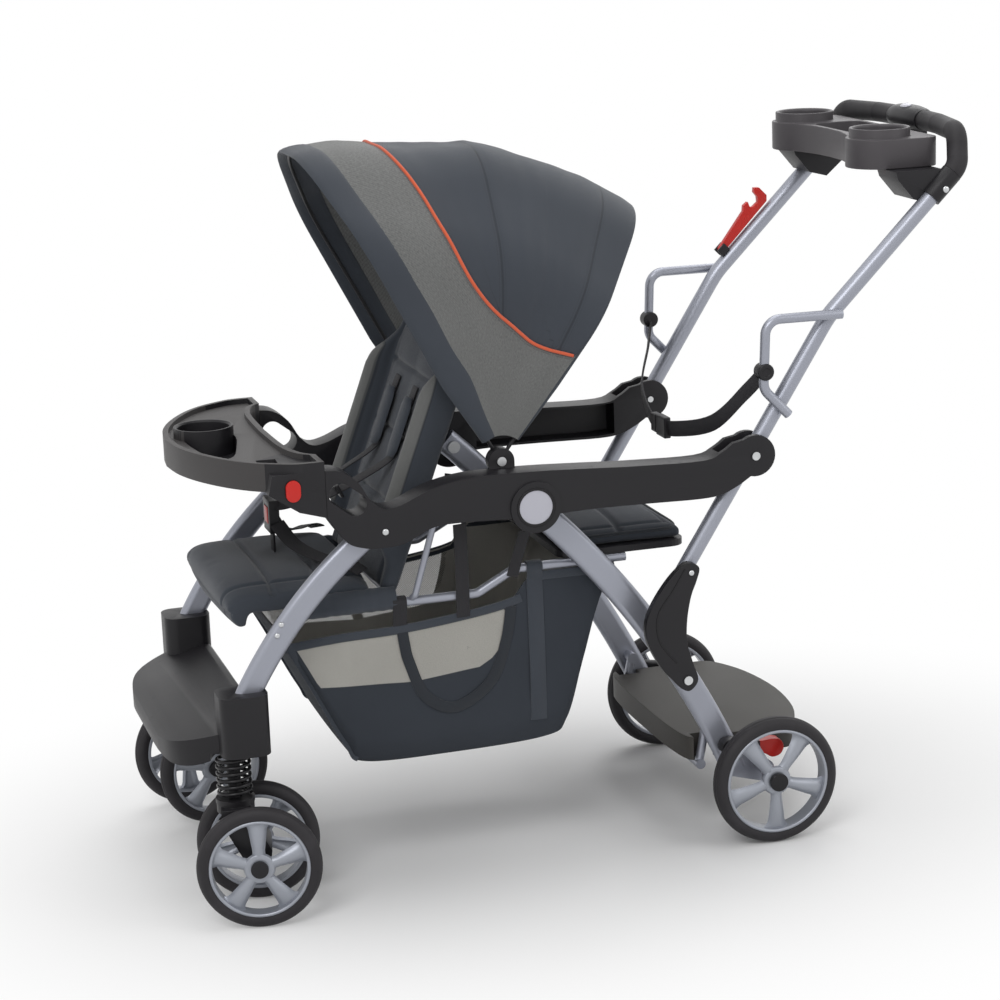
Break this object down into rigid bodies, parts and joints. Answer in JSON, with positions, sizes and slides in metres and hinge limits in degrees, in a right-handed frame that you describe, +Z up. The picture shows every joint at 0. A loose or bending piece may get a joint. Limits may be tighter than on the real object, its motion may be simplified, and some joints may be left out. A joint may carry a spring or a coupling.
{
  "type": "tandem stroller",
  "caption": "Tandem stroller with a canopied front seat, child tray, rear bench, standing board, basket, parent tray and swivel casters.",
  "frame": {"origin": "on the floor under the middle of the stroller's box", "axes": "+X to the rear where the parent walks, +Y to the stroller's right, +Z up"},
  "size_m": [1.322, 0.64, 1.111],
  "materials": {
    "silver_paint": "satin silver paint",
    "black_plastic": "moulded black plastic",
    "grey_plastic": "dark warm grey plastic",
    "red_plastic": "red moulded plastic",
    "rim_silver": "silver painted rim",
    "tyre_rubber": "black tread rubber",
    "steel": "zinc plated steel",
    "slate_cloth": "woven slate cloth",
    "webbing": "black woven webbing",
    "foam": "black foam grip"
  },
  "bodies": {
    "frame": {"side_arm_l": "black_plastic", "side_arm_r": "black_plastic", "front_leg_l": "silver_paint", "front_leg_r": "silver_paint", "front_footrest": "black_plastic", "seat_rails": "silver_paint", "bench_base": "black_plastic", "bench_pad": "slate_cloth", "seat_cushion": "slate_cloth", "basket": "slate_cloth", "spring_l": "steel", "spring_r": "steel", "frame_pins": "steel", "buckle": "black_plastic", "canopy_rear_bow": "black_plastic", "canopy_fabric": "slate_cloth"},
    "seat_back": {"seat_back": "slate_cloth", "harness": "webbing"},
    "canopy_front": {"canopy_front_bow": "black_plastic"},
    "tray": {"child_tray": "grey_plastic"},
    "tray_button_left": {"tray_button_l": "red_plastic"},
    "tray_button_right": {"tray_button_r": "red_plastic"},
    "buckle_key": {"buckle_button": "red_plastic"},
    "handle": {"handle_tube_l": "silver_paint", "handle_tube_r": "silver_paint", "handle_brackets": "black_plastic", "handlebar": "foam", "release_module": "black_plastic", "parent_tray": "grey_plastic", "grab_loops": "silver_paint", "rear_belt": "webbing"},
    "trigger": {"fold_trigger": "black_plastic"},
    "latch": {"fold_latch": "red_plastic"},
    "rear_legs": {"rear_leg_l": "silver_paint", "rear_leg_r": "silver_paint", "rear_axle": "steel", "rear_platform": "grey_plastic", "platform_tube": "silver_paint", "axle_caps": "black_plastic", "leg_pins": "steel"},
    "brake_left": {"brake_lever_l": "red_plastic"},
    "brake_right": {"brake_lever_r": "red_plastic"},
    "rear_wheel_left": {"rear_rim_l": "rim_silver", "rear_tyre_l": "tyre_rubber"},
    "rear_wheel_right": {"rear_rim_r": "rim_silver", "rear_tyre_r": "tyre_rubber"},
    "link_left": {"link_cover_l": "black_plastic"},
    "link_right": {"link_cover_r": "black_plastic"},
    "stem_left": {"suspension_stem_l": "black_plastic"},
    "caster_left": {"caster_fork_l": "black_plastic"},
    "front_wheel_left_outer": {"front_rim_l_outer": "rim_silver", "front_tyre_l_outer": "tyre_rubber"},
    "front_wheel_left_inner": {"front_rim_l_inner": "rim_silver", "front_tyre_l_inner": "tyre_rubber"},
    "stem_right": {"suspension_stem_r": "black_plastic"},
    "caster_right": {"caster_fork_r": "black_plastic"},
    "front_wheel_right_outer": {"front_rim_r_outer": "rim_silver", "front_tyre_r_outer": "tyre_rubber"},
    "front_wheel_right_inner": {"front_rim_r_inner": "rim_silver", "front_tyre_r_inner": "tyre_rubber"}
  },
  "joints": [
    {"name": "frame_fold", "type": "hinge", "parent": "frame", "child": "handle", "pos_m": [0.26234, 0, 0.62491], "axis": [0, -1, 0], "range_deg": [0, 45]},
    {"name": "rear_leg_fold", "type": "hinge", "parent": "frame", "child": "rear_legs", "pos_m": [-0.09, 0, 0.583], "axis": [0, -1, 0], "range_deg": [0, 7]},
    {"name": "link_fold_left", "type": "hinge", "parent": "rear_legs", "child": "link_left", "pos_m": [0.14301, -0.257, 0.28537], "axis": [0, -1, 0], "range_deg": [-53, 0]},
    {"name": "link_fold_right", "type": "hinge", "parent": "rear_legs", "child": "link_right", "pos_m": [0.14301, 0.257, 0.28537], "axis": [0, -1, 0], "range_deg": [-53, 0]},
    {"name": "canopy_fold", "type": "hinge", "parent": "frame", "child": "canopy_front", "pos_m": [-0.128, 0, 0.648], "axis": [0, 1, 0], "range_deg": [0, 44], "deforming": ["canopy_fabric"]},
    {"name": "seat_recline", "type": "hinge", "parent": "frame", "child": "seat_back", "pos_m": [-0.286, 0, 0.437], "axis": [0, 1, 0], "range_deg": [0, 20]},
    {"name": "tray_slide", "type": "slide", "parent": "frame", "child": "tray", "axis": [-1, 0, 0], "range_m": [0, 0.08]},
    {"name": "tray_button_left_press", "type": "slide", "parent": "tray", "child": "tray_button_left", "axis": [0, 1, 0], "range_m": [0, 0.004], "stiffness_N_per_m": 400, "springref_m": -0.002},
    {"name": "tray_button_right_press", "type": "slide", "parent": "tray", "child": "tray_button_right", "axis": [0, -1, 0], "range_m": [0, 0.004], "stiffness_N_per_m": 400, "springref_m": -0.002},
    {"name": "buckle_press", "type": "slide", "parent": "frame", "child": "buckle_key", "axis": [1, 0, 0], "range_m": [0, 0.003], "stiffness_N_per_m": 300, "springref_m": -0.002},
    {"name": "fold_trigger_pull", "type": "slide", "parent": "handle", "child": "trigger", "axis": [0, 0, 1], "range_m": [0, 0.007], "stiffness_N_per_m": 500, "springref_m": -0.003},
    {"name": "latch_turn", "type": "hinge", "parent": "handle", "child": "latch", "pos_m": [0.40336, 0.235, 0.86475], "axis": [0, -1, 0], "range_deg": [0, 40]},
    {"name": "brake_left_press", "type": "hinge", "parent": "rear_legs", "child": "brake_left", "pos_m": [0.22024, -0.2235, 0.15619], "axis": [0, 1, 0], "range_deg": [0, 12]},
    {"name": "rear_wheel_left_spin", "type": "hinge", "parent": "rear_legs", "child": "rear_wheel_left", "pos_m": [0.288, -0.253, 0.102], "axis": [0, 1, 0], "continuous": true},
    {"name": "brake_right_press", "type": "hinge", "parent": "rear_legs", "child": "brake_right", "pos_m": [0.22024, 0.2235, 0.15619], "axis": [0, 1, 0], "range_deg": [0, 12]},
    {"name": "rear_wheel_right_spin", "type": "hinge", "parent": "rear_legs", "child": "rear_wheel_right", "pos_m": [0.288, 0.253, 0.102], "axis": [0, 1, 0], "continuous": true},
    {"name": "suspension_left", "type": "slide", "parent": "frame", "child": "stem_left", "axis": [0, 0, 1], "range_m": [0, 0.012], "stiffness_N_per_m": 6000, "springref_m": -0.01, "deforming": ["spring_l"]},
    {"name": "swivel_left", "type": "hinge", "parent": "stem_left", "child": "caster_left", "pos_m": [-0.562, -0.228, 0.15], "axis": [0, 0, 1], "continuous": true},
    {"name": "front_wheel_left_outer_spin", "type": "hinge", "parent": "caster_left", "child": "front_wheel_left_outer", "pos_m": [-0.54362, -0.29066, 0.093], "axis": [0.1908, 0.9816, 0], "continuous": true},
    {"name": "front_wheel_left_inner_spin", "type": "hinge", "parent": "caster_left", "child": "front_wheel_left_inner", "pos_m": [-0.52148, -0.17679, 0.093], "axis": [0.1908, 0.9816, 0], "continuous": true},
    {"name": "suspension_right", "type": "slide", "parent": "frame", "child": "stem_right", "axis": [0, 0, 1], "range_m": [0, 0.012], "stiffness_N_per_m": 6000, "springref_m": -0.01, "deforming": ["spring_r"]},
    {"name": "swivel_right", "type": "hinge", "parent": "stem_right", "child": "caster_right", "pos_m": [-0.562, 0.228, 0.15], "axis": [0, 0, 1], "continuous": true},
    {"name": "front_wheel_right_outer_spin", "type": "hinge", "parent": "caster_right", "child": "front_wheel_right_outer", "pos_m": [-0.54362, 0.29066, 0.093], "axis": [-0.1908, 0.9816, 0], "continuous": true},
    {"name": "front_wheel_right_inner_spin", "type": "hinge", "parent": "caster_right", "child": "front_wheel_right_inner", "pos_m": [-0.52148, 0.17679, 0.093], "axis": [-0.1908, 0.9816, 0], "continuous": true}
  ],
  "couplings": [
    {"joint": "rear_leg_fold", "follows": "frame_fold", "ratio": 0.151},
    {"joint": "link_fold_left", "follows": "frame_fold", "ratio": -1.1694},
    {"joint": "link_fold_right", "follows": "frame_fold", "ratio": -1.1694}
  ]
}
